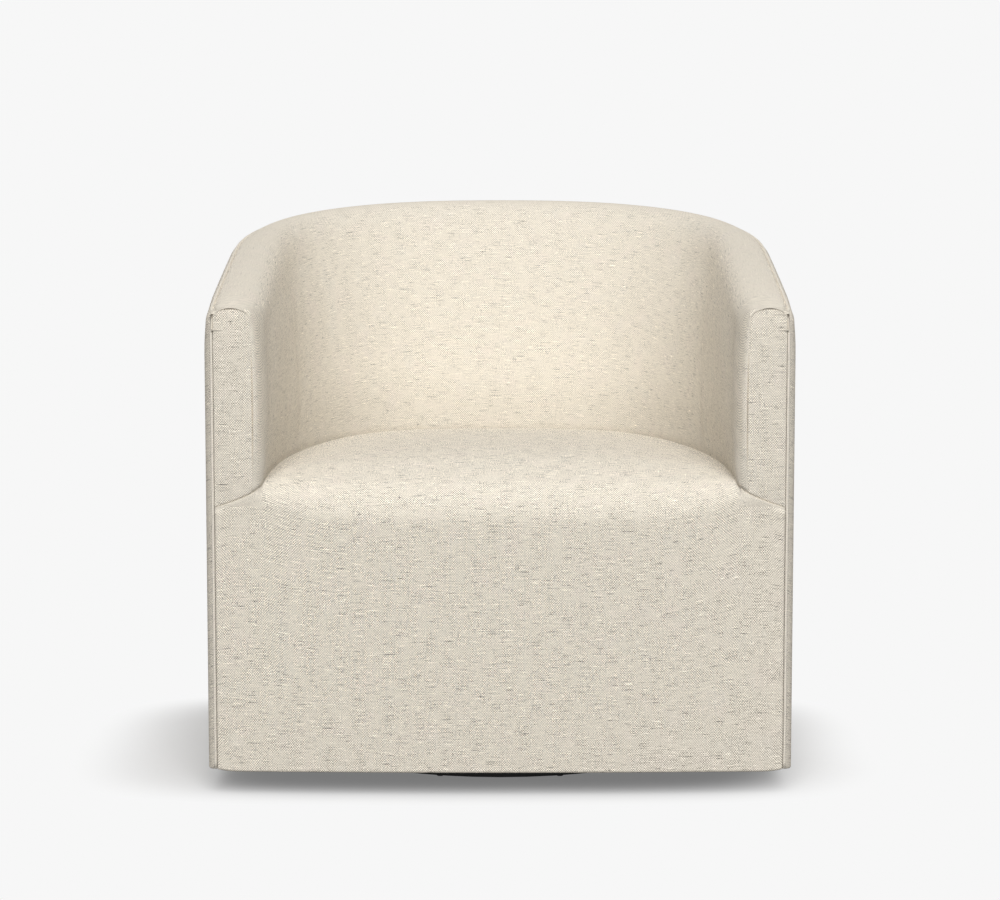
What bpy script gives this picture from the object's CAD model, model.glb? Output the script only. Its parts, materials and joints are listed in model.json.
import json
import math

import bmesh
import bpy
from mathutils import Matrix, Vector


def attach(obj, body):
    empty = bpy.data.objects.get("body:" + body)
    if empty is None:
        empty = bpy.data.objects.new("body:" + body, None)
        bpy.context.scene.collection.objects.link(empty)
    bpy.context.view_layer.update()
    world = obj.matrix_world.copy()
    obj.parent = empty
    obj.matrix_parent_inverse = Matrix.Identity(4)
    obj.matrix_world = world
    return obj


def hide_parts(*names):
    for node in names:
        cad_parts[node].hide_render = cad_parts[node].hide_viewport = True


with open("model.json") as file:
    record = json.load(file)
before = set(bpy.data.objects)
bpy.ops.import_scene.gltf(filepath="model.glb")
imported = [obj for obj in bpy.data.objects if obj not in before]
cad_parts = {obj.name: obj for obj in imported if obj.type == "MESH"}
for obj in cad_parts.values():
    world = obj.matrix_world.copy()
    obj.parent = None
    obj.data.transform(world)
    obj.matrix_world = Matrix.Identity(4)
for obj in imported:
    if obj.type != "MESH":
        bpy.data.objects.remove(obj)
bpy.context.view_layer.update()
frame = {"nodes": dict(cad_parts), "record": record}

bl_info = {
    "name": "Swivel barrel chair",
    "version": (1, 0, 0),
    "blender": (4, 5, 0),
    "location": "3D View > Sidebar > Chair",
    "description": "Dresses the frame of a swivel barrel chair in its cloth and sets its stage",
    "category": "Object",
}

UV_NAME = "cloth_uv"
FREE_NAME = "free"
CHAIR_BODY = "chair"
MERGE_DISTANCE = 1e-6
PINNED_BELOW = 0.02

HALF_TURN = math.pi
QUARTER_TURN = math.pi / 2

# Hem, the same on the outside cover and the front.
HEM_TUCK = 0.017
HEM_FOLD = 0.0032
HEM_END = 0.014

# Rows of points down a station of the inside cover.
RIM_STEPS = 16
ROLL_STEPS = 12
FACE_STEPS = 26
SEAT_ROW = RIM_STEPS + 1 + ROLL_STEPS + FACE_STEPS
TUCK_SHARES = (0.03, 0.06, 0.09, 0.12, 0.16, 0.2, 0.25, 0.6, 1)


def measure(name, text, value, **kind):
    """A number with its name, its description and its unit or subtype."""
    return bpy.props.FloatProperty(name=name, description=text, default=value, precision=4, **kind)


def length(name, text, value):
    return measure(name, text, value, unit="LENGTH")


def share(name, text, value):
    return measure(name, text, value, subtype="FACTOR")


def strength(name, text, value):
    return measure(name, text, value, subtype="UNSIGNED")


def count(name, text, value):
    return bpy.props.IntProperty(name=name, description=text, default=value, min=1)


def angle(name, text, degrees):
    return bpy.props.FloatProperty(name=name, description=text, default=math.radians(degrees), subtype="ANGLE")


def colour(name, text, value):
    return bpy.props.FloatVectorProperty(name=name, description=text, default=value, subtype="COLOR", size=3)


class TubSettings(bpy.types.PropertyGroup):
    """Sizes of the tub, the same as in its solids."""

    half_width: length("Half width", "Half of the width over the arms", 0.3935)
    depth: length("Depth", "Depth from the seat front to the back", 0.8)
    back_height: length("Back height", "Top of the rim at the back", 0.776)
    arm_height: length("Arm height", "Top of the rim at the arm fronts", 0.659)
    hem: length("Hem", "Height of the hem over the floor", 0.0355)
    hem_round: length("Hem round", "How far from the front corners the hem starts to round up", 0.045)
    hem_rise: length("Hem rise", "How far the hem rounds up at the front corners", 0.008)
    side_share: share("Side share", "Straight part of each side, as a share of the depth", 0.506)
    corner_radius: length("Corner radius", "Radius of the front corners in plan", 0.025)
    front_bow: length("Front bow", "How far the front swells between its corners", 0.009)
    plan_power: strength("Plan power", "Power of the curve round the back", 2.4)
    rise_power: strength("Rise power", "Power of the rise of the rim over the depth", 0.88)
    shoulder: length("Shoulder radius", "Radius of the outside shoulder", 0.022)
    crown_rise: length("Crown rise", "Rise of the rim's crown over the shoulder", 0.004)
    arm_thickness: length("Arm thickness", "Thickness of the arms at the top", 0.0785)
    back_thickness: length("Back thickness", "Thickness of the back at the top", 0.058)
    thin_share: share("Thinning share", "Where the rim reaches its back thickness", 0.4167)
    inner_roll: length("Inner roll", "Roll of the rim towards the inside", 0.026)
    rim_corner: length("Rim corner", "Drop of the inner corner that guides the roll", 0.009)
    roll_share: share("Roll share", "Where the roll ends on the inside face", 0.14)
    welt_radius: length("Welt radius", "Radius of the welt", 0.0021)
    welt_sink: length("Welt sink", "How far the welt's middle lies under the shoulder", 0.001)
    welt_turn: angle("Welt turn", "Where the welt lies on the shoulder", 54)
    pinch: length("Pinch", "How far the outside draws in under its shoulder near the front", 0.0024)
    corner_lean: length("Corner lean", "How far the front corners lean forward at the top", 0.004)


class SeatSettings(bpy.types.PropertyGroup):
    """Sizes of the seat, its ears and its front panel."""

    height: length("Seat height", "Height of the seat at its sides", 0.434)
    crown: length("Seat crown", "Rise of the middle of the seat", 0.0232)
    roll_depth: length("Roll depth", "Depth of the roll over the middle of the front", 0.17)
    roll_height: length("Roll height", "Height of the roll over the middle of the front", 0.083)
    edge_drop: length("Edge drop", "Drop of the seat along its sides", 0.008)
    front_radius: length("Front radius", "Radius of the front roll", 0.038)
    depth: length("Inner depth", "Depth of the seat to the inside of the back", 0.622)
    power: strength("Seat power", "Power of the curve of the seat's plan", 2.8)
    follow: share("Follow share", "How the seat's edge follows the wall in depth", 0.82)
    follow_start: length("Follow start", "Depth where the edge starts to follow", 0.0233)
    ear_drop: length("Ear drop", "Drop of the ears under the seat", 0.038)
    ear_seam: length("Ear seam", "Height of the seam under the seat", 0.001)
    ear_power: strength("Ear power", "Power of the ear's curve", 0.5)
    face_half: length("Face half width", "Half of the width of the front face", 0.3802)
    facing_inner: length("Facing inner edge", "Where the arm facings start", 0.3290)
    facing_top: length("Facing top", "Top of the arm facings", 0.6575)
    skirt_low: length("Skirt", "Lowest point of the hidden skirt of the seat", 0.352)
    pad_low: length("Pad bottom", "Bottom of the pads behind the seat", 0.3531)


class ClothSettings(bpy.types.PropertyGroup):
    """Look of the linen and how finely its pieces are laid."""

    base: colour("Cloth", "Colour of the cloth", (0.82, 0.76, 0.652))
    welt: colour("Welt", "Colour of the welt's cloth", (0.83, 0.775, 0.675))
    warp_pitch: length("Warp pitch", "Distance from upright thread to thread", 0.00159)
    weft_pitch: length("Weft pitch", "Distance from level thread to thread", 0.00174)
    side_steps: count("Side steps", "Rows along each side", 56)
    back_steps: count("Back steps", "Rows round each half of the back", 84)
    wall_steps: count("Wall steps", "Rows up the outside", 40)


class SwellSettings(bpy.types.PropertyGroup):
    """Cloth simulation that swells the padded pieces between their seams."""

    frames: count("Frames", "Frames of the simulation", 20)
    quality: count("Quality", "Steps in each frame", 5)
    mass: measure("Mass", "Mass of the cloth at each point", 0.3, unit="MASS")
    stiffness: strength("Stiffness", "Stiffness against stretch and shear", 15.0)
    bending: strength("Bending", "Stiffness against bending", 0.5)
    pressure: strength("Pressure", "Pressure inside", 4.0)
    cap: length("Cap", "Farthest that a point may move", 0.005)
    evening: count("Evening", "How often the swelling is evened out between neighbouring points", 14)


class StageSettings(bpy.types.PropertyGroup):
    """Camera, lights and floor."""

    distance: length("Distance", "Camera to the axis, along the floor", 4.402)
    eye: length("Eye height", "Height of the camera", 0.94)
    tilt: angle("Tilt", "Turn of the camera from straight down", 83.336)
    lens: measure("Lens", "Focal length on a sensor 36 mm wide", 109.44, unit="CAMERA")
    backdrop: colour("Backdrop", "Colour of the background", (0.93, 0.93, 0.93))
    ambient: strength("Ambient", "Strength of the even light from all round", 0.3)
    sun: strength("Sun", "Strength of the key light", 2.1)
    sun_height: angle("Sun height", "Height of the key light", 36)
    sun_side: angle("Sun side", "Turn of the key light to the right", 0)
    sun_size: angle("Sun size", "Angle of the key light, which softens its shadows", 40)
    fill: measure("Fill", "Power of the large light over the front", 12.5, unit="POWER")
    floor_seen: share("Floor seen", "Floor colour that the camera sees", 0.70)
    floor_glow: share("Floor glow", "Light of the floor's own that the camera sees in the shadow", 0.18)
    shadow_width: length("Shadow width", "Half of the width of the oval that shows the chair's shadow", 0.56)
    shadow_depth: length("Shadow depth", "Half of the depth of that oval", 0.385)
    shadow_left: length("Shadow left", "How far to the left the middle of that oval lies", 0.035)
    shadow_ahead: length("Shadow ahead", "How far to the front the middle of that oval lies", 0.05)
    floor_bounce: share("Floor bounce", "Floor colour that lights the chair", 0.28)


# ---------------------------------------------------------------- shapes


class Tub:
    """Plan, rim and seat of the chair in metres, with the front towards -Y."""

    def __init__(self, scene):
        self.t = scene.tub
        self.s = scene.seat
        self.front = -self.t.depth / 2
        self.side_run = self.t.depth * self.t.side_share
        self.back_start = self.front + self.side_run
        self.corner_y = self.front + self.t.front_bow + self.t.corner_radius
        self.inner_half = self.t.half_width - self.t.arm_thickness
        self.rim_inset = self.t.shoulder * (1 - math.cos(self.t.welt_turn))
        self.rim_drop = self.t.crown_rise + self.t.shoulder * (1 - math.sin(self.t.welt_turn))

    def bow(self, x):
        """How far the front has fallen back from its middle."""
        half = self.t.half_width - self.t.corner_radius
        return self.t.front_bow * min(abs(x) / half, 1) ** 2

    def plan(self, station, inset):
        """Plan point of a station: its zone, its side and its place there, a depth or a turn."""
        zone, side, place = station
        t = self.t
        if zone == "side":
            return side * (t.half_width - inset), place
        if zone == "corner":
            reach = t.corner_radius - inset
            x = t.half_width - t.corner_radius + reach * math.cos(place)
            lean = t.corner_lean * min(inset / self.rim_inset, 1) * place / t.welt_turn
            return side * x, self.corner_y - reach * math.sin(place) - lean
        across = (t.half_width - inset) * max(math.cos(place), 0) ** (2 / t.plan_power)
        along = (t.depth - self.side_run - inset) * max(math.sin(place), 0) ** (2 / t.plan_power)
        return side * across, self.back_start + along

    def crown(self, station):
        """Height of the rim's crown."""
        part = max((self.plan(station, 0)[1] - self.front) / self.t.depth, 0)
        return self.t.arm_height + (self.t.back_height - self.t.arm_height) * part**self.t.rise_power

    def shoulder(self, station):
        """Height where the outside starts to turn in to the rim."""
        return self.crown(station) - self.t.crown_rise - self.t.shoulder

    def thickness(self, station):
        """Thickness of the wall at its top."""
        if station[0] != "back":
            return self.t.arm_thickness
        part = smooth_step(0, 1, station[2] / QUARTER_TURN / self.t.thin_share)
        return self.t.arm_thickness + (self.t.back_thickness - self.t.arm_thickness) * part

    def hem(self, x, y):
        """Height of the hem, which rounds up towards the front corners."""
        away = max(self.t.half_width - abs(x), y - self.front)
        return self.t.hem + self.t.hem_rise * max(1 - away / self.t.hem_round, 0) ** 2.5

    def rim(self, station, inset):
        """Height of the top of the wall over an inset."""
        t = self.t
        if inset < self.rim_inset:
            return self.shoulder(station) + math.sqrt(max(t.shoulder**2 - (t.shoulder - inset) ** 2, 0))
        flat_end = self.thickness(station) - t.inner_roll
        middle = (t.shoulder + flat_end) / 2
        off = (min(inset, flat_end) - middle) / (middle - self.rim_inset)
        return self.crown(station) - self.rim_drop * off * off

    def seat_half(self, depth):
        """Half of the seat's width at a depth."""
        part = min(max(depth, 0) / self.s.depth, 1)
        return self.inner_half * (1 - part**self.s.power) ** (1 / self.s.power)

    def seat_depth(self, x):
        """Depth of the seat's rear edge at a width."""
        part = min(abs(x) / self.inner_half, 1)
        return self.s.depth * (1 - part**self.s.power) ** (1 / self.s.power)

    def follow(self, depth):
        """Depth on the seat that belongs to a depth on the outside."""
        start = self.s.follow_start
        return depth if depth < start else start + (depth - start) * self.s.follow

    def seat_point(self, station):
        """Plan point where the inside of a station meets the seat."""
        x, y = self.plan(station, 0)
        if station[0] != "back":
            depth = self.follow(y - self.front)
            return station[1] * self.seat_half(depth), self.front + depth
        x = x * self.seat_half(self.follow(self.side_run)) / self.t.half_width
        return x, self.front + self.seat_depth(x)

    def seat_top(self, x, depth):
        """Height of the seat over a plan point."""
        s = self.s
        edge_start, edge_run = 0.86, 0.14
        rear_start, rear_run = 0.93, 0.07
        across = min(abs(x) / max(self.seat_half(depth), s.edge_drop), 1)
        middle = 1 - across**4
        run = s.front_radius + (s.roll_depth - s.front_radius) * middle
        rise = s.front_radius + (s.roll_height - s.front_radius) * middle
        roll = rise * quarter_round(min(max(1 - depth / run, 0), 1))
        edge = s.edge_drop * max(across - edge_start, 0) ** 2 / edge_run**2 * min(depth / s.front_radius, 1)
        rear = max(depth / s.depth - rear_start, 0) / rear_run
        arch = math.sin(HALF_TURN * max(min(depth / s.depth, 1) ** 0.8, 0.5))
        crown = s.crown * (1 - across**2.5) * arch
        return s.height - roll + crown - edge * 0.7 - rear * rear * s.edge_drop * 0.5

    def ear(self, x):
        """Height of the seam on top of the ears."""
        s = self.s
        part = min(max((abs(x) - self.inner_half) / (s.face_half - self.inner_half), 0), 1)
        return s.height - s.ear_seam - s.ear_drop * part**s.ear_power


def smooth_step(low, high, value):
    """Eases from 0 at low to 1 at high; low may be the larger one."""
    part = min(max((value - low) / (high - low), 0), 1)
    return part * part * (3 - 2 * part)


def quarter_round(share):
    """How far a round edge has fallen back at a share of its radius, from 0 to 1."""
    return 1 - math.sqrt(max(1 - share * share, 0))


def spread(low, high, steps):
    """Even steps from low to high, with both ends."""
    return [low + (high - low) * step / steps for step in range(steps + 1)]


def half_stations(tub, cloth, start):
    """Stations of the left half, from the front to the middle of the back."""
    sides = [("side", -1, y) for y in spread(start, tub.back_start, cloth.side_steps)]
    backs = [("back", -1, turn) for turn in spread(0, QUARTER_TURN, cloth.back_steps)]
    return sides + backs[1:]


def both_halves(half):
    """The left half of a row of stations, then the right half."""
    return half + [(zone, 1, place) for zone, _, place in reversed(half[:-1])]


def lay_grid(name, rows, uvs, free=None, wrap=False, capped=False):
    """A smooth mesh over rows of points, with a UV map in metres and how free each point is to swell."""
    wide = len(rows[0]) - 1
    high = len(rows) - 1
    bm = bmesh.new()
    bmesh.ops.create_grid(bm, x_segments=wide, y_segments=high, size=1)
    layer = bm.loops.layers.uv.new(UV_NAME)
    freedom = bm.verts.layers.float.new(FREE_NAME)
    place = {}
    for vert in bm.verts:
        place[vert] = (round((vert.co.x + 1) / 2 * wide), round((vert.co.y + 1) / 2 * high))
    for face in bm.faces:
        for loop in face.loops:
            column, row = place[loop.vert]
            loop[layer].uv = uvs[row][column]
    for vert, (column, row) in place.items():
        vert.co = rows[row][column]
        if free:
            vert[freedom] = free(row, column, vert.co)
    if wrap:
        bmesh.ops.remove_doubles(bm, verts=bm.verts, dist=MERGE_DISTANCE)
    if capped:
        edges = [edge for edge in bm.edges if edge.is_boundary]
        bmesh.ops.holes_fill(bm, edges=edges, sides=0)
    bmesh.ops.recalc_face_normals(bm, faces=bm.faces)
    return add_piece(name, bm)


def add_piece(name, bm):
    """Puts a finished mesh in the scene, smooth all over."""
    mesh = bpy.data.meshes.new(name)
    for face in bm.faces:
        face.smooth = True
    bm.to_mesh(mesh)
    bm.free()
    piece = bpy.data.objects.new(name, mesh)
    bpy.context.scene.collection.objects.link(piece)
    return piece


def arc_lengths(points):
    """How far along its run each point lies."""
    total = [0.0]
    for first, second in zip(points, points[1:]):
        total.append(total[-1] + (Vector(second) - Vector(first)).length)
    return total


def grid_uvs(rows, guide_column):
    """UVs in metres: along a guide column of the rows, and along each row."""
    along = arc_lengths([row[guide_column] for row in rows])
    middle = along[-1] / 2
    return [[(along[index] - middle, reach) for reach in arc_lengths(row)] for index, row in enumerate(rows)]


def face_outward(piece, point):
    """Turns the faces of an open piece so that its outside looks at a point."""
    mesh = piece.data
    face = min(mesh.polygons, key=lambda polygon: (polygon.center - Vector(point)).length)
    if (Vector(point) - face.center).dot(face.normal) < 0:
        mesh.flip_normals()


def swell(piece, cap, rules):
    """Blows a cloth up a little between its seams with a cloth simulation, and keeps the result."""
    mesh = piece.data
    free = [row.value for row in mesh.attributes[FREE_NAME].data]
    pins = piece.vertex_groups.new(name="pins")
    pins.add([index for index, value in enumerate(free) if value < PINNED_BELOW], 1.0, "REPLACE")
    cloth = piece.modifiers.new("cloth", "CLOTH")
    cloth.settings.quality = rules.quality
    cloth.settings.mass = rules.mass
    for kind in ("tension", "compression", "shear"):
        setattr(cloth.settings, f"{kind}_stiffness", rules.stiffness)
    cloth.settings.bending_stiffness = rules.bending
    cloth.settings.vertex_group_mass = pins.name
    cloth.settings.use_pressure = True
    cloth.settings.uniform_pressure_force = rules.pressure
    cloth.settings.effector_weights.gravity = 0
    cloth.collision_settings.use_collision = False
    cloth.point_cache.frame_start = 1
    cloth.point_cache.frame_end = rules.frames
    scene = bpy.context.scene
    for number in range(1, rules.frames + 1):
        scene.frame_set(number)
    posed = piece.evaluated_get(bpy.context.evaluated_depsgraph_get())
    moved = [vert.co.copy() for vert in posed.data.vertices]
    piece.modifiers.remove(cloth)
    piece.vertex_groups.remove(pins)
    scene.frame_set(1)
    shifts = []
    for vert, place, value in zip(mesh.vertices, moved, free):
        shift = place - vert.co
        if shift.length > cap:
            shift *= cap / shift.length
        shifts.append(shift * value)
    for vert, shift, value in zip(mesh.vertices, evened(mesh, shifts, rules.evening), free):
        if value > 0:
            vert.co += shift
    mesh.update()


def evened(mesh, shifts, rounds):
    """Each point's shift, evened out with those of its neighbours over some rounds."""
    beside = [[] for _ in shifts]
    for edge in mesh.edges:
        first, second = edge.vertices
        beside[first].append(second)
        beside[second].append(first)
    for _ in range(rounds):
        after = []
        for shift, near in zip(shifts, beside):
            total = shift * len(near)
            for index in near:
                total = total + shifts[index]
            after.append(total / (2 * len(near)))
        shifts = after
    return shifts


def dress(piece, material, slot, *nodes):
    """Gives a piece its cloth, its body, its slot and the nodes that it stands for."""
    piece.data.materials.append(material)
    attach(piece, CHAIR_BODY)
    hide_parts(*nodes)


# ---------------------------------------------------------------- cloth pieces


def hem_profile():
    """How far in and how far up the rows of a turned-in hem lie."""
    rows = [(HEM_TUCK, 0.0008), (HEM_FOLD * 1.6, 0.0003)]
    for turn in spread(0, QUARTER_TURN, 5):
        rows.append((HEM_FOLD * (1 - math.sin(turn)), HEM_FOLD * (1 - math.cos(turn))))
    return rows + [(-0.0001, 0.0055), (0.0002, 0.0078), (0.0001, 0.0108)]


def outer_section(tub, cloth, station):
    """Hem, outside wall and shoulder of one station, up to the welt."""
    pinch_start, pinch_full, pinch_run = 0.15, 0.03, 0.04
    shoulder_steps = 12
    turned_in = ((0.0012, 0.0004), (0.0018, 0.0024))
    t = tub.t
    x, y = tub.plan(station, 0)
    hem = tub.hem(x, y)
    section = [(inset, hem + up) for inset, up in hem_profile()]
    low = hem + HEM_END
    high = tub.shoulder(station)
    pinch = t.pinch * smooth_step(pinch_start, pinch_full, y - tub.front)
    if station[0] == "corner":
        pinch *= 1 - station[2] / t.welt_turn
    for part in spread(0, 1, cloth.wall_steps):
        height = low + (high - low) * part
        section.append((pinch * max(1 - (high - height) / pinch_run, 0) ** 2, height))
    end = t.welt_turn - math.asin(t.welt_radius / t.shoulder)
    for turn in spread(0, end, shoulder_steps)[1:]:
        inset = t.shoulder * (1 - math.cos(turn)) + pinch * math.cos(turn) ** 4
        section.append((inset, high + t.shoulder * math.sin(turn)))
    inset, top = section[-1]
    section += [(inset + further, top - down) for further, down in turned_in]
    return [Vector((*tub.plan(station, inset), height)) for inset, height in section]


def outer_cover(tub, cloth):
    """The sheet round the sides and back, from one front corner to the other."""
    guide, corner_steps = 30, 10
    corner_end = tub.t.welt_turn - math.asin(tub.t.welt_radius / tub.t.corner_radius)
    corner = [("corner", -1, turn) for turn in spread(corner_end, 0, corner_steps)]
    half = corner[:-1] + half_stations(tub, cloth, tub.corner_y)
    rows = [outer_section(tub, cloth, station) for station in both_halves(half)]
    piece = lay_grid("outer_cover", rows, grid_uvs(rows, guide))
    face_outward(piece, (0, 2, 0.4))
    return piece


def inner_section(tub, station):
    """One station of the inside cover, from the welt over the rim, down the inside and back up behind it."""
    t, s = tub.t, tub.s
    under_welt, rim_ease = 0.55, 1.6
    dip_depth, dip_width = 0.0022, 0.0028
    face_bulge, face_share, face_ease = 0.0035, 0.96, 0.8
    rear, rail_drop = 0.054, 0.0317
    flat_end = tub.thickness(station) - t.inner_roll
    start = t.shoulder - (t.shoulder - t.welt_sink) * math.cos(t.welt_turn) + t.welt_radius * under_welt
    crown = []
    for part in spread(0, 1, RIM_STEPS):
        inset = start + (flat_end - start) * part**rim_ease
        dip = dip_depth * math.exp(-(((inset - start) / dip_width) ** 2))
        crown.append(Vector((*tub.plan(station, inset), tub.rim(station, inset) - dip)))
    corner = Vector((*tub.plan(station, tub.thickness(station)), tub.crown(station) - t.rim_corner))
    foot = Vector((*tub.seat_point(station), s.height))
    roll_end = corner.lerp(foot, t.roll_share)
    first = crown[-1]
    roll = []
    for part in spread(0, 1, ROLL_STEPS)[1:]:
        left = 1 - part
        roll.append(first * left**2 + corner * 2 * part * left + roll_end * part * part)
    inward = Vector((*tub.plan(station, t.arm_thickness * 2), 0)) - Vector((*tub.plan(station, 0), 0))
    inward.normalize()
    face = []
    for part in spread(0, 1, FACE_STEPS)[1:]:
        bulge = face_bulge * math.sin(HALF_TURN * min(part * face_share, 1)) ** face_ease
        face.append(roll_end.lerp(foot, part) + inward * bulge)
    low = [Vector((foot.x, foot.y, s.height + (s.pad_low - s.height) * part)) for part in TUCK_SHARES]
    rail = tub.crown(station) - rail_drop
    back = [
        Vector((*tub.plan(station, rear), s.pad_low)),
        Vector((*tub.plan(station, rear), rail)),
        Vector((*tub.plan(station, start), rail)),
    ]
    return crown + roll + face + low + back + [crown[0].copy()]


def section_normals(flat):
    """Outward normals of the points of a section, straight down on its hidden rows."""
    hidden_rows = 3
    last = len(flat) - 1
    normals = []
    for index in range(last + 1):
        before = flat[index - 1] if index else flat[-2]
        after = flat[index + 1] if index < last else flat[1]
        run = Vector((after[0] - before[0], after[1] - before[1]))
        run = run.normalized() if run.length > 0 else Vector((1, 0))
        hidden = index < hidden_rows or index > last - hidden_rows
        normals.append(Vector((0, -1)) if hidden else Vector((-run.y, run.x)))
    return normals


def rounded_front(tub, station, section):
    """Rows that round the inside cover onto the front of an arm."""
    seat = tub.s.height
    side = station[1]
    top_radius, side_radius = 0.0014, 0.0142
    side_run, run_low, run_high = 0.045, 0.006, 0.08
    top_lip, lip_fall = 0.0021, 0.0017
    last_tuck, tuck_back = 0.0015, 2.4
    look_back = 0.002
    flat = [(point.x * side, point.z) for point in section]
    normals = section_normals(flat)
    crown = tub.crown(station)
    rows = []
    for turn, tuck in [(QUARTER_TURN, last_tuck)] + [(turn, 0) for turn in spread(QUARTER_TURN, 0, 12)[:-1]]:
        row = []
        for index, ((x, z), normal) in enumerate(zip(flat, normals)):
            sideways = normal.x**2
            radius = top_radius + side_radius * sideways
            deep = radius
            if index < SEAT_ROW:
                deep += side_run * sideways * smooth_step(seat + run_low, seat + run_high, z)
            lip = top_lip - lip_fall * max(-normal.y, 0) ** 2
            off = radius * (1 - math.cos(turn)) + tuck
            y = tub.front + tub.bow(x) + lip + deep * (1 - math.sin(turn)) + tuck * tuck_back
            part_up = min(max((z - seat) / (crown - seat), 0), 1)
            drop = (crown - tub.crown(("side", side, y + look_back))) * part_up
            row.append(Vector((side * (x + normal.x * off), y, z + normal.y * off - drop)))
        rows.append(row)
    return rows


def tucked(tub, rows):
    """Pulls the front of the inside cover in behind the ears of the seat."""
    s = tub.s
    reach_back = 0.06
    above, below = 0.0012, 0.0045
    gap = 0.009
    for point in (point for row in rows for point in row):
        depth = point.y - tub.front
        if depth > reach_back:
            continue
        seam = tub.ear(point.x)
        under = smooth_step(seam + above, seam - below, point.z)
        reach = min(max((point.z - (s.height - s.front_radius)) / s.front_radius, 0), 1)
        surface = tub.bow(point.x) + s.front_radius * quarter_round(reach)
        wanted = max(depth, surface + gap)
        point.y = tub.front + depth + (wanted - depth) * under
    return rows


def inner_cover(tub, cloth):
    """The cover of the rim, the arms and the inside of the back, from one arm front to the other."""
    seat = tub.s.height
    front_run = 0.064
    pinned_rows, hidden_row = 22, SEAT_ROW + 3
    rim_pinned, rim_free = 18, 38
    seat_pinned, seat_free = 0.006, 0.05
    guide = 40
    start = tub.front + tub.t.front_bow + front_run
    half = half_stations(tub, cloth, start)
    sections = [inner_section(tub, station) for station in half]
    front = rounded_front(tub, half[0], sections[0])
    left = front + sections
    right = [[Vector((-point.x, point.y, point.z)) for point in row] for row in reversed(left[:-1])]
    rows = tucked(tub, left + right)
    last = len(rows) - 1

    def free(row, column, point):
        ends = smooth_step(len(front), len(front) + pinned_rows, min(row, last - row))
        below_rim = smooth_step(rim_pinned, rim_free, column)
        over_seat = smooth_step(seat + seat_pinned, seat + seat_free, point.z)
        return ends * below_rim * over_seat if column < hidden_row else 0.0

    return lay_grid("inner_cover", rows, grid_uvs(rows, guide), free=free, wrap=True, capped=True)


def seat_columns():
    """Columns over the seat and its ears: a share of the seat's width, then a share of the ear."""
    centre_steps, ear_steps, ear_ease = 72, 16, 1.5
    centre = [(math.sin(turn), 0.0) for turn in spread(-QUARTER_TURN, QUARTER_TURN, centre_steps)]
    ears = [1 - (1 - part) ** ear_ease for part in spread(0, 1, ear_steps)[1:]]
    left = [(-1.0, part) for part in reversed(ears)]
    return left + centre + [(1.0, part) for part in ears]


def patch_point(tub, across, deep):
    """Plan point of the seat: across from -1 to 1, deep from the front, 0, to the rear, 1."""
    s = tub.s
    power = 2 / s.power
    corner = math.pi / 4

    def edge(turn):
        return tub.inner_half * math.cos(turn) ** power, s.depth * math.sin(turn) ** power

    side_x, side_d = edge(corner * deep)
    rear_turn = QUARTER_TURN - corner * abs(across)
    rear_x, rear_d = edge(rear_turn)
    rear_x = math.copysign(rear_x, across) if across else 0.0
    corner_x, corner_d = edge(corner)
    x = (1 - deep) * tub.inner_half * across + deep * rear_x + side_x * across
    x -= (1 - deep) * tub.inner_half * across + deep * corner_x * across
    d = deep * rear_d + side_d - deep * corner_d
    return x, d


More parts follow.
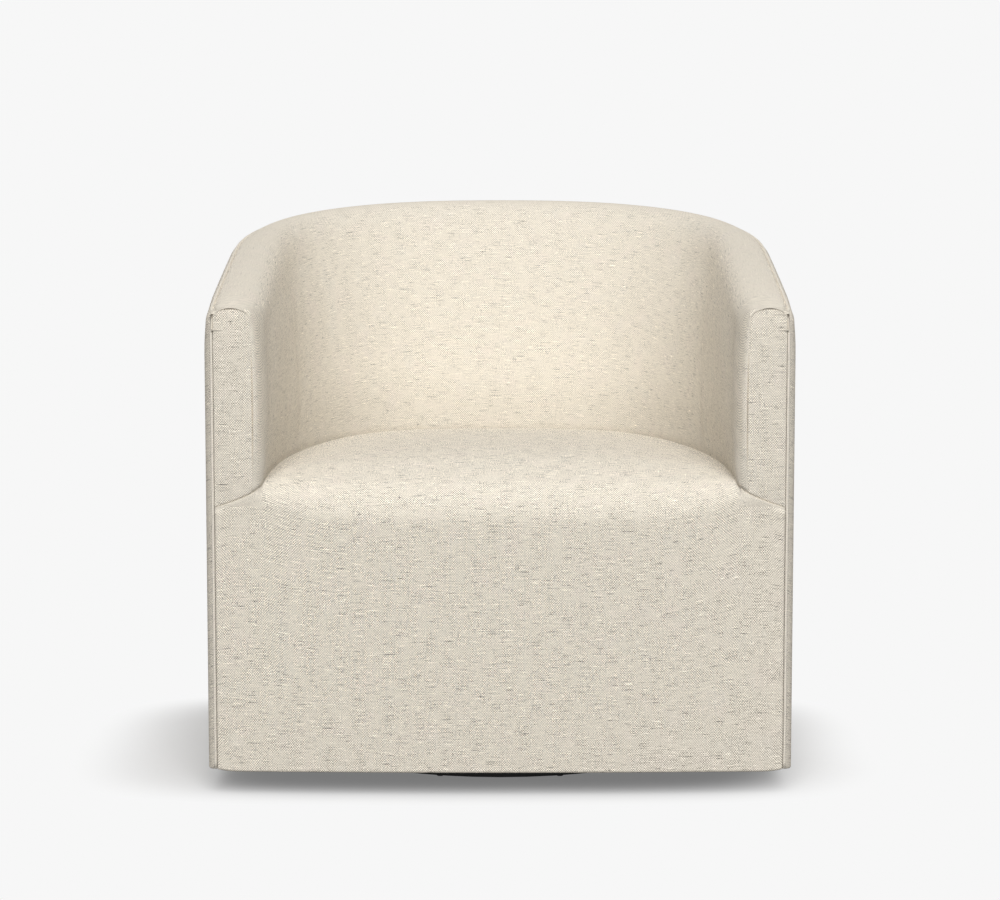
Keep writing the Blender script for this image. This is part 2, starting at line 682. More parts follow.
def seat_cover(tub):
    """One cloth from the hem up the front, over the roll and back to the inside of the tub."""
    s, t = tub.s, tub.t
    seam_roll, seam_gap = 0.0045, 0.0004
    edge_radius, edge_depth = 0.0035, 0.0024
    face_bulge, height_ease, width_ease = 0.0022, 0.6, 6
    bow_end, bow_full = 0.16, 0.03
    under_facing = Vector((0, 0.007, -0.0008))
    under_rows, under_share = 2, 0.9985
    skirt_shares, skirt_back = (0.12, 0.4, 1), 0.001
    front_steps, arc_steps, roll_steps, deep_steps = 52, 14, 6, 70
    straight_rows = 90
    side_free, ear_free, rear_free, hem_free = (0.003, 0.03), (0.001, 0.02), (0.004, 0.04), (0.012, 0.05)
    front_depth, behind_depth, behind_drop = 0.03, 0.05, 0.014
    columns = seat_columns()
    rows = []

    def front_x(column):
        across, ear = column
        if ear:
            return across * (tub.inner_half + (s.face_half - tub.inner_half) * ear)
        return across * tub.inner_half

    def edge_roll(x):
        part = min(max((abs(x) - (s.face_half - edge_radius)) / edge_radius, 0), 1)
        return edge_depth * quarter_round(part)

    def front_point(x, height, back=0.0):
        part = min(max((height - t.hem) / (s.height - t.hem), 0), 1)
        bulge = face_bulge * math.sin(HALF_TURN * part) ** height_ease
        bulge *= 1 - min(abs(x) / s.face_half, 1) ** width_ease
        return Vector((x, tub.front + tub.bow(x) + edge_roll(x) - bulge + back, height))

    def arc_end(x):
        """Where the front roll of an ear column meets the small roll at its seam."""
        rise = (tub.ear(x) - seam_gap - (s.height - s.front_radius) - seam_roll) / (s.front_radius - seam_roll)
        return math.asin(min(max(rise, 0), 1))

    def front_top(x):
        if abs(x) < tub.inner_half:
            return tub.seat_top(x, 0)
        return min(s.height - s.front_radius, tub.ear(x) - seam_gap - seam_roll)

    for back, up in hem_profile() + [(0.0, HEM_END)]:
        rows.append([front_point(x, tub.hem(x, tub.front) + up, back) for x in map(front_x, columns)])
    for part in spread(0, 1, front_steps)[1:]:
        row = []
        for column in columns:
            x = front_x(column)
            low = tub.hem(x, tub.front) + HEM_END
            row.append(front_point(x, low + (front_top(x) - low) * part))
        rows.append(row)
    for step in range(1, arc_steps + 1):
        row = []
        for column in columns:
            x = front_x(column)
            if column[1]:
                turn = arc_end(x) * step / arc_steps
                back = s.front_radius * (1 - math.cos(turn))
                row.append(front_point(x, front_top(x) + s.front_radius * math.sin(turn), back))
            else:
                back = s.front_radius * (1 - math.cos(QUARTER_TURN * step / arc_steps))
                point = front_point(x, front_top(x), back)
                point.z = tub.seat_top(x, back)
                row.append(point)
        rows.append(row)
    first_deep = s.front_radius / s.depth
    roll_row = rows[-1]
    for step in range(1, deep_steps + 1):
        deep = first_deep + (1 - first_deep) * step / deep_steps
        row = []
        for index, column in enumerate(columns):
            across, ear = column
            x, depth = patch_point(tub, across, deep)
            depth = max(depth, s.front_radius)
            shift = tub.bow(x) * smooth_step(bow_end, bow_full, depth)
            if ear:
                if step <= roll_steps:
                    first = arc_end(front_x(column))
                    turn = first + (QUARTER_TURN - first) * step / roll_steps
                    run = Vector((0, math.cos(first) - math.cos(turn), math.sin(turn) - math.sin(first)))
                    row.append(roll_row[index] + run * seam_roll)
                    continue
                if step <= roll_steps + under_rows:
                    row.append(rows[-1][index] + under_facing)
                    continue
                top = tub.seat_top(x, depth)
                height = top + (s.skirt_low - top) * ear
                row.append(Vector((x * under_share, tub.front + depth + shift, height)))
                continue
            row.append(Vector((x, tub.front + depth + shift, tub.seat_top(x, depth))))
        rows.append(row)
    last = rows[-1]
    for part in skirt_shares:
        row = []
        for point in last:
            height = point.z + (s.skirt_low - skirt_back - point.z) * part
            row.append(Vector((point.x, point.y + skirt_back, height)))
        rows.append(row)
    guide = len(columns) // 2
    up = arc_lengths([row[guide] for row in rows])
    uvs = []
    for index, row in enumerate(rows):
        straight = index < straight_rows
        across = [front_x(column) if straight else point.x for column, point in zip(columns, row)]
        uvs.append([(x, up[index]) for x in across])

    def free(row, column, point):
        depth = point.y - tub.front
        across = abs(point.x)
        if depth > behind_depth and point.z < s.height - behind_drop:
            return 0.0
        side = (s.face_half if depth < front_depth else tub.seat_half(depth)) - across
        ear = smooth_step(*ear_free, tub.ear(across) - point.z) if across > tub.inner_half else 1.0
        rear = smooth_step(*rear_free, tub.seat_depth(across) - depth)
        hem = smooth_step(t.hem + hem_free[0], t.hem + hem_free[1], point.z)
        return smooth_step(*side_free, side) * ear * rear * hem

    piece = lay_grid("seat_cover", rows, uvs, free=free)
    face_outward(piece, (0, -3, 0.3))
    return piece


def close_up(piece, thickness):
    """Gives an open cloth its thickness, inwards."""
    solid = piece.modifiers.new("thickness", "SOLIDIFY")
    solid.thickness = thickness
    solid.offset = -1
    solid.use_even_offset = False


def arm_facing(tub, side):
    """The crowned facing on the front of an arm."""
    s = tub.s
    inner, outer = s.facing_inner, s.face_half
    inner_corner, outer_corner = 0.007, 0.008
    seam_gap, top_crown = 0.0008, 0.001
    under_inner, under_fall = 0.0035, 0.0022
    beside_least, beside_more, beside_start, beside_full = 0.0003, 0.0012, 0.012, 0.1
    inside_least, inside_more, inside_start, inside_full = 0.0005, 0.003, 0.016, 0.004
    round_more, round_start, round_full = 0.0085, 0.04, 0.008
    top_edge = (0.0022, 0.0016)
    face_bulge, face_back = 0.003, 0.0018
    column_steps, level_steps = 30, 60
    edge_pinned, edge_free = 0.003, 0.016
    top = s.facing_top
    columns = [(1 - math.cos(turn)) / 2 for turn in spread(0, HALF_TURN, column_steps)]
    levels = [(1 - math.cos(turn)) / 2 for turn in spread(0, HALF_TURN, level_steps)]
    rows = []
    for level in levels:
        row = []
        for column in columns:
            x = inner + (outer - inner) * column
            low = tub.ear(x) - seam_gap
            high = top + top_crown * (1 - (2 * column - 1) ** 2)
            if x > outer - outer_corner:
                high -= outer_corner - math.sqrt(max(outer_corner**2 - (x - outer + outer_corner) ** 2, 0))
            if x < inner + inner_corner:
                high -= inner_corner - math.sqrt(max(inner_corner**2 - (inner + inner_corner - x) ** 2, 0))
            z = low + (high - low) * level
            under = under_inner - under_fall * column
            beside = beside_more * smooth_step(top - beside_start, top - beside_full, z) + beside_least
            inside = inside_least + inside_more * smooth_step(inside_start, inside_full, z - tub.ear(x))
            rounder = round_more * smooth_step(top - round_start, top - round_full, z)
            edges = (
                (x - inner, inside, inside + inside_more),
                (outer - x, beside, beside + rounder),
                (z - low, under, under),
                (high - z, *top_edge),
            )
            back = 0.0
            for gap, wide, deep in edges:
                back = max(back, deep * quarter_round(max(1 - gap / wide, 0)))
            bulge = face_bulge * (1 - (2 * column - 1) ** 2) * (1 - (2 * level - 1) ** 6)
            row.append(Vector((side * x, tub.front + tub.bow(x) + face_back + back - bulge, z)))
        rows.append(row)
    uvs = [[(point.x, point.z) for point in row] for row in rows]
    name = "arm_facing_cloth_left" if side < 0 else "arm_facing_cloth_right"

    def free(row, column, point):
        x = abs(point.x)
        gap = min(x - inner, outer - x, point.z - tub.ear(point.x), top - point.z)
        return smooth_step(edge_pinned, edge_free, gap)

    piece = lay_grid(name, rows, uvs, free=free)
    face_outward(piece, (0, -3, 0.5))
    return piece


def welt_path(tub, cloth):
    """Middle line of the welt, up one front edge, round the rim and down the other."""
    foot_gap = 0.0005
    rise_steps, over_steps, corner_steps = 60, 14, 10
    t = tub.t
    radius = t.shoulder - t.welt_sink

    def at(station, turn):
        inset = t.shoulder - radius * math.cos(turn)
        return Vector((*tub.plan(station, inset), tub.shoulder(station) + radius * math.sin(turn)))

    corner = ("corner", -1, t.welt_turn)
    foot = at(corner, 0)
    foot.z = tub.hem(foot.x, foot.y) + foot_gap
    rise = [foot.lerp(at(corner, 0), part) for part in spread(0, 1, rise_steps)[:-1]]
    over = [at(corner, turn) for turn in spread(0, t.welt_turn, over_steps)]
    turns = spread(t.welt_turn, 0, corner_steps)[1:-1]
    round_corner = [at(("corner", -1, turn), t.welt_turn) for turn in turns]
    rim = [at(station, t.welt_turn) for station in half_stations(tub, cloth, tub.corner_y)]
    left = rise + over + round_corner + rim
    return left + [Vector((-point.x, point.y, point.z)) for point in reversed(left[:-1])]


def welt_cord(tub, cloth):
    """The round cord in its cloth, with the weave on the bias."""
    rounds, sides = 3, 14
    bias = 0.7071
    radius = tub.t.welt_radius
    path = welt_path(tub, cloth)
    for _ in range(rounds):
        near = zip(path, path[1:], path[2:])
        path = [path[0]] + [(before + 2 * point + after) / 4 for before, point, after in near] + [path[-1]]
    along = arc_lengths(path)
    side_axis = Vector((1, 0, 0))
    rows, uvs = [], []
    for index, point in enumerate(path):
        ahead = path[min(index + 1, len(path) - 1)] - path[max(index - 1, 0)]
        ahead.normalize()
        side_axis = (side_axis - ahead * side_axis.dot(ahead)).normalized()
        across = ahead.cross(side_axis)
        row, uv = [], []
        for step in range(sides + 1):
            turn = 2 * math.pi * step / sides
            row.append(point + (side_axis * math.cos(turn) + across * math.sin(turn)) * radius)
            reach = turn * radius
            uv.append(((along[index] + reach) * bias, (along[index] - reach) * bias))
        rows.append(row)
        uvs.append(uv)
    return lay_grid("welt_cord", rows, uvs, wrap=True, capped=True)


# ---------------------------------------------------------------- materials


class Net:
    """Short words for building a node tree."""

    def __init__(self, tree):
        self.tree = tree

    def node(self, kind, **values):
        made = self.tree.nodes.new(kind)
        for key, value in values.items():
            setattr(made, key, value)
        return made

    def link(self, source, target):
        self.tree.links.new(source, target)

    def put(self, socket, value):
        """Links a socket to another one, or gives it a constant value."""
        if isinstance(value, bpy.types.NodeSocket):
            self.link(value, socket)
        else:
            socket.default_value = value

    def math(self, operation, first, second=None, third=None, clamp=False):
        made = self.node("ShaderNodeMath", operation=operation, use_clamp=clamp)
        for socket, value in zip(made.inputs, (first, second, third)):
            if value is not None:
                self.put(socket, value)
        return made.outputs[0]

    def mix(self, factor, first, second, blend="MIX"):
        made = self.node("ShaderNodeMix", data_type="RGBA", blend_type=blend)
        self.put(made.inputs[0], factor)
        self.put(made.inputs[6], first)
        self.put(made.inputs[7], second)
        return made.outputs[2]

    def noise(self, vector, scale, detail=2.0, rough=0.5, distortion=0.0):
        made = self.node("ShaderNodeTexNoise")
        self.put(made.inputs["Vector"], vector)
        looks = {"Scale": scale, "Detail": detail, "Roughness": rough, "Distortion": distortion}
        for label, value in looks.items():
            made.inputs[label].default_value = value
        return made.outputs["Fac"]

    def mapped(self, vector, **values):
        """A place that is stretched or turned."""
        made = self.node("ShaderNodeMapping")
        self.put(made.inputs["Vector"], vector)
        for name, value in values.items():
            made.inputs[name].default_value = value
        return made.outputs[0]

    def grain(self, vector, scale, detail, rough, distortion=0.0):
        """Noise over a stretched place."""
        return self.noise(self.mapped(vector, Scale=scale), 1.0, detail, rough, distortion)

    def ramp(self, value, low, high, start=0.0, end=1.0):
        """Eases from start to end while a value goes from low to high."""
        made = self.node("ShaderNodeMapRange", interpolation_type="SMOOTHSTEP")
        self.put(made.inputs["Value"], value)
        ends = {"From Min": low, "From Max": high, "To Min": start, "To Max": end}
        for label, limit in ends.items():
            made.inputs[label].default_value = limit
        return made.outputs["Result"]

    def split(self, vector):
        """X, Y and Z of a vector."""
        made = self.node("ShaderNodeSeparateXYZ")
        self.link(vector, made.inputs[0])
        return made.outputs

    def grey(self, value):
        """A colour whose three parts are one value."""
        made = self.node("ShaderNodeCombineColor")
        for socket in made.inputs:
            self.put(socket, value)
        return made.outputs[0]

    def place(self, name="Object"):
        return self.node("ShaderNodeTexCoord").outputs[name]

    def shared(self, tree, place, **values):
        """A shared group at a place, with its colours and values."""
        made = self.node("ShaderNodeGroup", node_tree=tree)
        self.link(place, made.inputs["Place"])
        for name, value in values.items():
            made.inputs[name].default_value = value
        return made

    def finish(self, shader, source, paint, strength, distance):
        """Gives the shader its colour, and the roughness and bumps of a shared group."""
        self.link(paint, shader.inputs["Base Color"])
        self.link(source.outputs["Roughness"], shader.inputs["Roughness"])
        bump = self.node("ShaderNodeBump")
        bump.inputs["Strength"].default_value = strength
        bump.inputs["Distance"].default_value = distance
        self.link(source.outputs["Height"], bump.inputs["Height"])
        self.link(bump.outputs[0], shader.inputs["Normal"])

    def plain(self, kind, paint):
        """A shader node of one colour."""
        made = self.node(kind)
        made.inputs["Color"].default_value = (*paint, 1)
        return made

    def mix_shader(self, factor, first, second):
        made = self.node("ShaderNodeMixShader")
        self.link(factor, made.inputs[0])
        self.link(first.outputs[0], made.inputs[1])
        self.link(second.outputs[0], made.inputs[2])
        return made

    def looked_at(self):
        """1 on the rays that show a thing in the picture, 0 on those that only light it."""
        path = self.node("ShaderNodeLightPath")
        seen = self.math("MAXIMUM", path.outputs["Is Camera Ray"], path.outputs["Is Glossy Ray"])
        return self.math("MAXIMUM", seen, path.outputs["Is Transmission Ray"])


def group(name, inputs, outputs):
    """An empty shared node group with its sockets."""
    tree = bpy.data.node_groups.new(name, "ShaderNodeTree")
    for label, kind, value in inputs:
        socket = tree.interface.new_socket(label, in_out="INPUT", socket_type=kind)
        if value is not None:
            socket.default_value = value
    for label, kind in outputs:
        tree.interface.new_socket(label, in_out="OUTPUT", socket_type=kind)
    net = Net(tree)
    return net, net.node("NodeGroupInput").outputs, net.node("NodeGroupOutput").inputs


def linen_group(cloth):
    """Plain weave of slubby yarn over a UV map in metres."""
    vector, number, paint = "NodeSocketVector", "NodeSocketFloat", "NodeSocketColor"
    net, given, made = group(
        "linen_weave",
        [("Place", vector, None), ("Cloth", paint, (0.8, 0.75, 0.65, 1)), ("Contrast", number, 1.0)],
        [("Color", paint), ("Roughness", number), ("Height", number)],
    )
    place = given["Place"]
    wander = net.node("ShaderNodeTexNoise")
    net.put(wander.inputs["Vector"], place)
    wander.inputs["Scale"].default_value = 55
    wander.inputs["Detail"].default_value = 2
    push = net.node("ShaderNodeVectorMath", operation="MULTIPLY_ADD")
    net.link(wander.outputs["Color"], push.inputs[0])
    push.inputs[1].default_value = (cloth.warp_pitch * 1.1, cloth.weft_pitch * 1.1, 0)
    net.link(place, push.inputs[2])
    along, up, _ = net.split(push.outputs[0])
    warp = net.math("SINE", net.math("MULTIPLY", along, HALF_TURN / cloth.warp_pitch))
    weft = net.math("SINE", net.math("MULTIPLY", up, HALF_TURN / cloth.weft_pitch))
    over = net.math("MULTIPLY", warp, weft)
    warp_round = net.math("ABSOLUTE", warp)
    weft_round = net.math("ABSOLUTE", weft)
    warp_up = net.math("MULTIPLY", warp_round, net.math("MULTIPLY_ADD", over, 0.5, 0.5))
    weft_up = net.math("MULTIPLY", weft_round, net.math("MULTIPLY_ADD", over, -0.5, 0.5))
    height = net.math("MAXIMUM", warp_up, weft_up)
    fibres = net.grain(place, (620, 620, 620), 3.0, 0.7)
    slub_long = net.grain(place, (50, 620, 1), 3.0, 0.65)
    slub_high = net.grain(place, (600, 80, 1), 3.0, 0.65)
    slub_light = net.ramp(slub_long, 0.56, 0.74)
    slub_dark = net.ramp(slub_long, 0.44, 0.26)
    slub_up = net.ramp(slub_high, 0.58, 0.76)
    slub_down = net.ramp(slub_high, 0.42, 0.26)
    patches = net.noise(place, 45, 2.0, 0.6)
    fade = net.ramp(patches, 0.32, 0.60, 0.45, 1.0)
    strength = net.math("MULTIPLY", given["Contrast"], fade)
    tone = net.math("MULTIPLY", over, 0.42)
    tone = net.math("MULTIPLY_ADD", net.math("SUBTRACT", height, 0.72), 0.30, tone)
    tone = net.math("MULTIPLY_ADD", net.math("SUBTRACT", fibres, 0.5), 1.5, tone)
    tone = net.math("MULTIPLY_ADD", slub_light, 0.48, tone)
    tone = net.math("MULTIPLY_ADD", slub_dark, -0.58, tone)
    tone = net.math("MULTIPLY_ADD", slub_up, 0.33, tone)
    tone = net.math("MULTIPLY_ADD", slub_down, -0.33, tone)
    value = net.math("MULTIPLY_ADD", tone, strength, 1.0)
    clouds = net.noise(place, 24, 3.0, 0.6)
    value = net.math("MULTIPLY_ADD", net.math("SUBTRACT", clouds, 0.5), 0.05, value)
    tinted = net.mix(net.ramp(clouds, 0.46, 0.70, 0.0, 0.16), given["Cloth"], (0.80, 0.69, 0.64, 1))
    cool = net.noise(net.mapped(place, Scale=(1, 1, 7)), 29, 2.0, 0.5)
    tinted = net.mix(net.ramp(cool, 0.50, 0.74, 0.0, 0.10), tinted, (0.70, 0.70, 0.66, 1))
    net.link(net.mix(1.0, tinted, net.grey(value), "MULTIPLY"), made["Color"])
    rough = net.math("MULTIPLY_ADD", height, -0.08, 0.93)
    net.link(rough, made["Roughness"])
    lifted = net.math("MULTIPLY_ADD", slub_light, 0.5, height)
    lifted = net.math("MULTIPLY_ADD", slub_up, 0.35, lifted)
    net.link(net.math("MULTIPLY_ADD", fibres, 0.25, lifted), made["Height"])
    return net.tree


def new_material(name):
    """A new material, its node tree and its Principled shader."""
    material = bpy.data.materials.new(name)
    material.use_nodes = True
    net = Net(material.node_tree)
    shader = material.node_tree.nodes["Principled BSDF"]
    return material, net, shader


def linen_material(name, cloth, linen, contrast, depth, slant, top, sheen, low, lift):
    """Linen whose weave fades on level faces, and whose tone falls off low down."""
    material, net, shader = new_material(name)
    place = net.node("ShaderNodeUVMap", uv_map=UV_NAME).outputs[0]
    weave = net.shared(linen, place, Cloth=(*cloth, 1))
    facing = net.node("ShaderNodeLayerWeight").outputs["Facing"]
    turned = net.math("MULTIPLY_ADD", net.math("POWER", facing, 3.0), contrast * slant, contrast)
    upward = net.split(net.place("Normal"))[2]
    flat = net.ramp(upward, 0.72, 0.96, 1.0, top)
    net.link(net.math("MULTIPLY", turned, flat), weave.inputs["Contrast"])
    height = net.split(net.place())[2]
    lifted = net.ramp(upward, 0.45, 0.9, 1.0, lift)
    tone = net.math("MULTIPLY", net.ramp(height, 0.445, 0.535, low, 1.0), lifted)
    paint = net.mix(1.0, weave.outputs["Color"], net.grey(tone), "MULTIPLY")
    net.finish(shader, weave, paint, strength=0.55, distance=depth)
    shader.inputs["Specular IOR Level"].default_value = 0.2
    shader.inputs["Sheen Weight"].default_value = sheen
    shader.inputs["Sheen Roughness"].default_value = 0.5
    shader.inputs["Sheen Tint"].default_value = (1.0, 0.93, 0.82, 1)
    return material


def grain_group():
    """Wood grain along X of an object, with rings and pores."""
    vector, number, paint = "NodeSocketVector", "NodeSocketFloat", "NodeSocketColor"
    net, given, made = group(
        "wood_grain",
        [("Place", vector, None), ("Light", paint, (0.7, 0.55, 0.36, 1)), ("Dark", paint, (0.5, 0.36, 0.2, 1))],
        [("Color", paint), ("Roughness", number), ("Height", number)],
    )
    rings = net.grain(given["Place"], (6, 60, 60), 4.0, 0.6, 0.6)
    pores = net.grain(given["Place"], (60, 900, 900), 3.0, 0.7)
    blend = net.math("MULTIPLY_ADD", net.math("SUBTRACT", pores, 0.5), 0.5, net.ramp(rings, 0.32, 0.68))
    net.link(net.mix(blend, given["Light"], given["Dark"]), made["Color"])
    net.link(net.ramp(pores, 0.3, 0.7, 0.55, 0.8), made["Roughness"])
    net.link(pores, made["Height"])
    return net.tree


def wood_material(name, light, dark, grain, upright):
    """Sawn wood with its grain along X, or along Z where it stands upright."""
    material, net, shader = new_material(name)
    place = net.place()
    if upright:
        place = net.mapped(place, Rotation=(0, QUARTER_TURN, 0))
    wood = net.shared(grain, place, Light=(*light, 1), Dark=(*dark, 1))
    net.finish(shader, wood, wood.outputs["Color"], strength=0.4, distance=0.0004)
    return material


def surface_group():
    """Speckled surface for metal, nylon and nonwoven: a colour with specks, wear and a fine texture."""
    vector, number, paint = "NodeSocketVector", "NodeSocketFloat", "NodeSocketColor"
    net, given, made = group(
        "fine_surface",
        [
            ("Place", vector, None),
            ("Base", paint, (0.5, 0.5, 0.5, 1)),
            ("Worn", paint, (0.6, 0.6, 0.6, 1)),
            ("Low", number, 0.3),
            ("High", number, 0.5),
        ],
        [("Color", paint), ("Roughness", number), ("Height", number)],
    )
    grain = net.grain(given["Place"], (1400, 1400, 1400), 2.0, 0.6)
    wear = net.grain(given["Place"], (45, 45, 45), 4.0, 0.65)
    mask = net.math("MULTIPLY", net.ramp(wear, 0.52, 0.72), 0.6)
    mask = net.math("MULTIPLY_ADD", net.ramp(grain, 0.55, 0.75), 0.25, mask, clamp=True)
    net.link(net.mix(mask, given["Base"], given["Worn"]), made["Color"])
    span = net.math("SUBTRACT", given["High"], given["Low"])
    net.link(net.math("MULTIPLY_ADD", wear, span, given["Low"]), made["Roughness"])
    net.link(net.math("MULTIPLY_ADD", wear, 0.4, grain), made["Height"])
    return net.tree


def surface_material(name, surface, base, worn, low, high, metallic, depth):
    """Metal, nylon or nonwoven, with a roughness that wanders from low to high."""
    material, net, shader = new_material(name)
    fine = net.shared(surface, net.place(), Base=(*base, 1), Worn=(*worn, 1), Low=low, High=high)
    net.finish(shader, fine, fine.outputs["Color"], strength=0.35, distance=depth)
    shader.inputs["Metallic"].default_value = metallic
    return material


def frame_materials():
    """Finishes of the frame, the springs, the swivel and the base.

    A row of the second table holds the slot, the colour, the worn colour, the least and the most
    roughness, the metallic part and the depth of the bumps.
    """
    made = {}
    grain = grain_group()
    solid_wood = ((0.62, 0.43, 0.24), (0.40, 0.24, 0.11), grain)
    for name, *look in (
        ("hardwood", *solid_wood, False),
        ("hardwood_upright", *solid_wood, True),
        ("plywood", (0.70, 0.53, 0.31), (0.52, 0.36, 0.19), grain, False),
    ):
        made[name] = wood_material(name, *look)
    surface = surface_group()
    for name, *look in (
        ("spring_steel", (0.16, 0.17, 0.18), (0.30, 0.29, 0.28), 0.28, 0.5, 1.0, 0.0001),
        ("felt", (0.38, 0.36, 0.33), (0.62, 0.57, 0.50), 0.85, 1.0, 0.0, 0.0012),
        ("dust_cloth", (0.012, 0.012, 0.013), (0.03, 0.03, 0.032), 0.75, 0.95, 0.0, 0.0006),
        ("black_steel", (0.004, 0.004, 0.0045), (0.016, 0.0155, 0.015), 0.5, 0.72, 0.0, 0.0002),
        ("zinc_steel", (0.52, 0.54, 0.56), (0.70, 0.68, 0.60), 0.22, 0.45, 1.0, 0.0001),
        ("black_nylon", (0.007, 0.007, 0.0075), (0.02, 0.02, 0.02), 0.5, 0.7, 0.0, 0.0002),
    ):
        made[name] = surface_material(name, surface, *look)
    return made


def cloth_materials(cloth):
    """The linen of each piece.

    A row holds the name, the colour, the contrast of the weave, the depth of its bumps, the contrast
    added at a slant, the contrast left on level faces, the sheen, the tone low down and that of
    level faces.
    """
    linen = bpy.data.node_groups.get("linen_weave") or linen_group(cloth)
    made = {}
    for name, paint, *look in (
        ("linen", cloth.base, 1.5, 0.0007, 1.0, 1.0, 0.45, 1.0, 1.08),
        ("linen_outside", cloth.base, 1.5, 0.0007, 0.4, 1.0, 0.08, 1.0, 1.0),
        ("linen_inside", cloth.base, 1.12, 0.0006, 0.8, 0.35, 0.3, 0.89, 1.0),
        ("linen_welt", cloth.welt, 0.7, 0.0005, 0.0, 1.0, 0.12, 1.0, 1.0),
    ):
        made[name] = bpy.data.materials.get(name) or linen_material(name, paint, linen, *look)
    return made


# ---------------------------------------------------------------- operators


def read_settings(context):
    """The tub, the cloth's settings and its materials."""
    scene = context.scene
    return Tub(scene), scene.cloth, cloth_materials(scene.cloth)


class CHAIR_OT_outer_cover(bpy.types.Operator):
    """Lay the outside cover round the sides and back, from the hem to the welt"""

    bl_idname = "chair.outer_cover"
    bl_label = "Outside cover"

    def execute(self, context):
        top_turning, end_turning = 0.06, 0.05
        tub, cloth, cloths = read_settings(context)
        piece = outer_cover(tub, cloth)
        dress(piece, cloths["linen_outside"], "cloth", "outer_shell")
        stations = both_halves(half_stations(tub, cloth, tub.corner_y))
        wide = arc_lengths([tub.plan(station, 0) + (0,) for station in stations])[-1] + end_turning
        return {"FINISHED"}


class CHAIR_OT_inner_cover(bpy.types.Operator):
    """Lay the soft cover of the arms and back, over the rim and down to the seat"""

    bl_idname = "chair.inner_cover"
    bl_label = "Inside cover"

    def execute(self, context):
        tub, cloth, cloths = read_settings(context)
        piece = inner_cover(tub, cloth)
        swell(piece, context.scene.swell.cap, context.scene.swell)
        dress(piece, cloths["linen_inside"], "cloth", "arm_pad_left", "arm_pad_right", "back_pad")
        return {"FINISHED"}


class CHAIR_OT_seat_cover(bpy.types.Operator):
    """Lay the seat, its ears and the front panel in one cloth"""

    bl_idname = "chair.seat_cover"
    bl_label = "Seat cover"

    def execute(self, context):
        tub, _, cloths = read_settings(context)
        piece = seat_cover(tub)
        swell(piece, context.scene.swell.cap, context.scene.swell)
        close_up(piece, thickness=0.003)
        dress(piece, cloths["linen"], "cloth", "seat_pad", "front_panel")
        return {"FINISHED"}


class CHAIR_OT_facings(bpy.types.Operator):
    """Lay the crowned facings on the fronts of the arms"""

    bl_idname = "chair.facings"
    bl_label = "Arm facings"

    def execute(self, context):
        tub, _, cloths = read_settings(context)
        for side, node in ((-1, "arm_facing_left"), (1, "arm_facing_right")):
            piece = arm_facing(tub, side)
            swell(piece, context.scene.swell.cap / 3, context.scene.swell)
            close_up(piece, thickness=0.006)
            dress(piece, cloths["linen"], "cloth", node)
        return {"FINISHED"}


class CHAIR_OT_welt(bpy.types.Operator):
    """Lay the welt up the front edges and round the rim"""

    bl_idname = "chair.welt"
    bl_label = "Welt"

    def execute(self, context):
        tub, cloth, cloths = read_settings(context)
        piece = welt_cord(tub, cloth)
        dress(piece, cloths["linen_welt"], "welt_cloth", "welt")
        return {"FINISHED"}


class CHAIR_OT_frame_finish(bpy.types.Operator):
    """Give the wood, steel, felt and nylon of the frame their finishes"""

    bl_idname = "chair.frame_finish"
    bl_label = "Frame finishes"

    def execute(self, context):
        materials = frame_materials()
        slots = {row["node"]: row["material_slot"] for row in frame["record"]["subparts"]}
        covered = {"cloth", "welt_cloth"}
        for name, node in frame["nodes"].items():
            finish = slots[name]
            if finish in covered:
                continue
            if "_post_" in name:
                finish = "hardwood_upright"
            if not node.material_slots:
                raise RuntimeError(f"{name} has no material slot")
            node.material_slots[0].material = materials[finish]
        return {"FINISHED"}


class CHAIR_OT_stage(bpy.types.Operator):
    """Set the camera, the lights, the floor and the background"""

    bl_idname = "chair.stage"
    bl_label = "Stage"

    def execute(self, context):
        scene = context.scene
        add_camera(scene, scene.stage)
        add_lights(scene, scene.stage)
        add_floor(scene.stage)
        add_world(scene, scene.stage)
        scene.view_settings.view_transform = "Standard"
        return {"FINISHED"}


def add_camera(scene, stage):
    """The camera in front of the chair, a little above it."""
    lens = bpy.data.cameras.new("camera")
    lens.sensor_width = 36
    lens.lens = stage.lens
    lens.clip_end = 60
    camera = bpy.data.objects.new("camera", lens)
    camera.location = (0, -stage.distance, stage.eye)
    camera.rotation_euler = (stage.tilt, 0, 0)
    scene.collection.objects.link(camera)
    scene.camera = camera


def aim(lamp, place, target):
    """Puts a lamp in its place and turns it to its target."""
    lamp.location = place
    lamp.rotation_euler = (Vector(target) - Vector(place)).to_track_quat("-Z", "Y").to_euler()


def add_lights(scene, stage):
    """A soft key light from the front and a large fill light over it."""
    sun = bpy.data.lights.new("key", "SUN")
    sun.energy = stage.sun
    sun.angle = stage.sun_size
    key = bpy.data.objects.new("key", sun)
    away = 4
    reach = away * math.cos(stage.sun_height)
    place = (
        reach * math.sin(stage.sun_side),
        -reach * math.cos(stage.sun_side),
        away * math.sin(stage.sun_height),
    )
    aim(key, place, target=(0, 0, 0))
    scene.collection.objects.link(key)
    area = bpy.data.lights.new("fill", "AREA")
    area.shape = "RECTANGLE"
    area.size = 2.4
    area.size_y = 1.2
    area.energy = stage.fill
    fill = bpy.data.objects.new("fill", area)
    aim(fill, place=(0.25, -1.75, 2.1), target=(0, -0.35, 0.55))
    scene.collection.objects.link(fill)


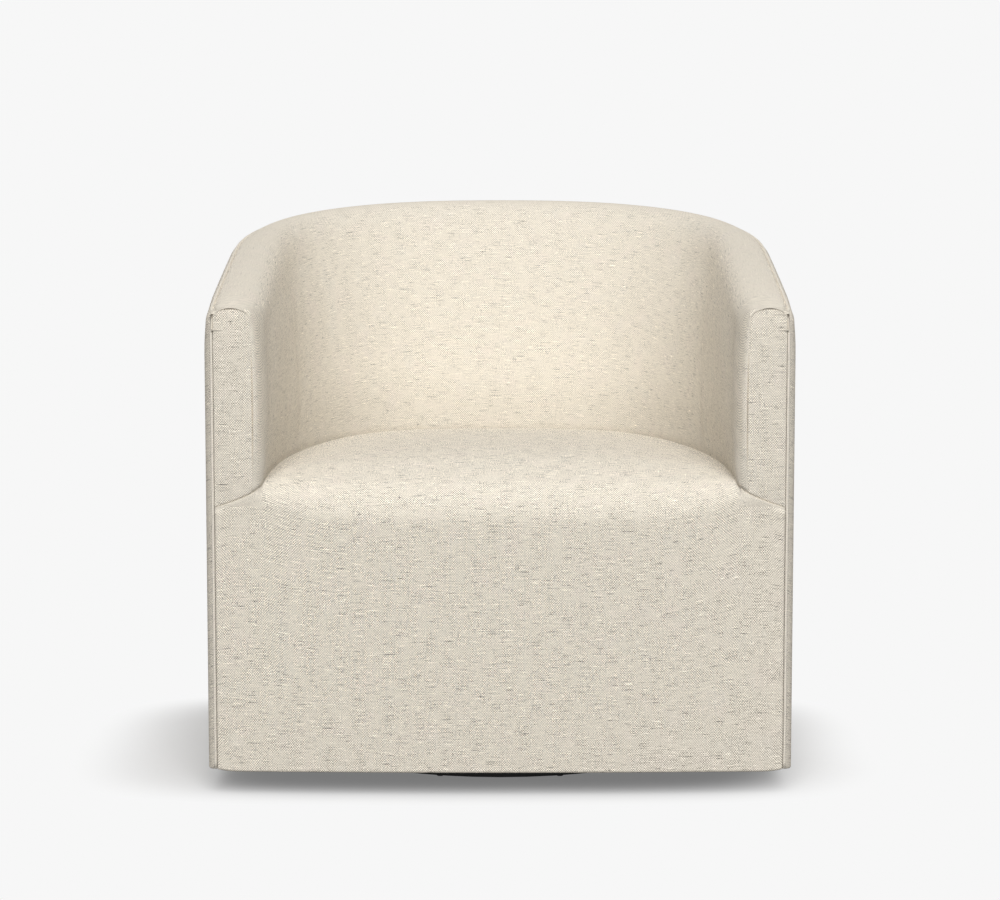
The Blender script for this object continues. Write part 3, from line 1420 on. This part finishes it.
def add_floor(stage):
    """A floor that is lit near the chair and takes the backdrop's colour further off."""
    bm = bmesh.new()
    bmesh.ops.create_grid(bm, x_segments=4, y_segments=4, size=40)
    floor = add_piece("floor", bm)
    material, net, shader = new_material("floor")
    tree = material.node_tree
    tree.nodes.remove(shader)
    seen = net.plain("ShaderNodeBsdfDiffuse", (stage.floor_seen,) * 3)
    bounce = net.plain("ShaderNodeBsdfDiffuse", (stage.floor_bounce,) * 3)
    far = net.plain("ShaderNodeEmission", stage.backdrop)
    place = net.place()
    oval = net.node("ShaderNodeVectorMath", operation="MULTIPLY_ADD")
    net.link(place, oval.inputs[0])
    oval.inputs[1].default_value = (1 / stage.shadow_width, 1 / stage.shadow_depth, 0)
    middle = (stage.shadow_left / stage.shadow_width, stage.shadow_ahead / stage.shadow_depth, 0)
    oval.inputs[2].default_value = middle
    across, ahead, _ = net.split(oval.outputs[0])
    wide = net.math("POWER", net.math("ABSOLUTE", across), 4.0)
    deep = net.math("POWER", net.math("ABSOLUTE", ahead), 4.0)
    reach = net.math("POWER", net.math("ADD", wide, deep), 0.25)
    rough = net.grain(place, (3, 3, 3), 2.0, 0.5)
    soft = net.math("MULTIPLY_ADD", net.math("SUBTRACT", rough, 0.5), 0.04, reach)
    glow = net.plain("ShaderNodeEmission", (stage.floor_glow,) * 3)
    lit = net.node("ShaderNodeAddShader")
    net.link(seen.outputs[0], lit.inputs[0])
    net.link(glow.outputs[0], lit.inputs[1])
    away = net.math("POWER", net.ramp(soft, 0.58, 1.03), 2.3)
    shown = net.mix_shader(net.looked_at(), bounce, net.mix_shader(away, lit, far))
    net.link(shown.outputs[0], tree.nodes["Material Output"].inputs["Surface"])
    floor.data.materials.append(material)


def add_world(scene, stage):
    """Even light from all round, behind a plain backdrop."""
    world = bpy.data.worlds.new("studio")
    world.use_nodes = True
    net = Net(world.node_tree)
    world.node_tree.nodes.clear()
    seen = net.plain("ShaderNodeBackground", stage.backdrop)
    light = net.plain("ShaderNodeBackground", (1, 0.985, 0.965))
    light.inputs["Strength"].default_value = stage.ambient
    shown = net.mix_shader(net.looked_at(), light, seen)
    net.link(shown.outputs[0], net.node("ShaderNodeOutputWorld").inputs["Surface"])
    scene.world = world


OPERATORS = (
    CHAIR_OT_stage,
    CHAIR_OT_outer_cover,
    CHAIR_OT_inner_cover,
    CHAIR_OT_seat_cover,
    CHAIR_OT_facings,
    CHAIR_OT_welt,
    CHAIR_OT_frame_finish,
)


class CHAIR_PT_panel(bpy.types.Panel):
    """Buttons that build the chair's cloth and stage"""

    bl_label = "Swivel barrel chair"
    bl_idname = "CHAIR_PT_panel"
    bl_space_type = "VIEW_3D"
    bl_region_type = "UI"
    bl_category = "Chair"

    def draw(self, context):
        for operator in OPERATORS:
            self.layout.operator(operator.bl_idname)


GROUPS = {
    "tub": TubSettings,
    "seat": SeatSettings,
    "cloth": ClothSettings,
    "swell": SwellSettings,
    "stage": StageSettings,
}


def register():
    """Adds the settings, the operators and the panel."""
    for name, settings_class in GROUPS.items():
        bpy.utils.register_class(settings_class)
        setattr(bpy.types.Scene, name, bpy.props.PointerProperty(type=settings_class))
    for operator in OPERATORS:
        bpy.utils.register_class(operator)
    bpy.utils.register_class(CHAIR_PT_panel)


def unregister():
    """Takes them out again, the last one first."""
    bpy.utils.unregister_class(CHAIR_PT_panel)
    for operator in reversed(OPERATORS):
        bpy.utils.unregister_class(operator)
    for name, settings_class in reversed(GROUPS.items()):
        delattr(bpy.types.Scene, name)
        bpy.utils.unregister_class(settings_class)


def main():
    """Builds the chair's cloth and its stage."""
    register()
    for operator in OPERATORS:
        group_name, call = operator.bl_idname.split(".")
        getattr(getattr(bpy.ops, group_name), call)()


if __name__ == "__main__":
    main()
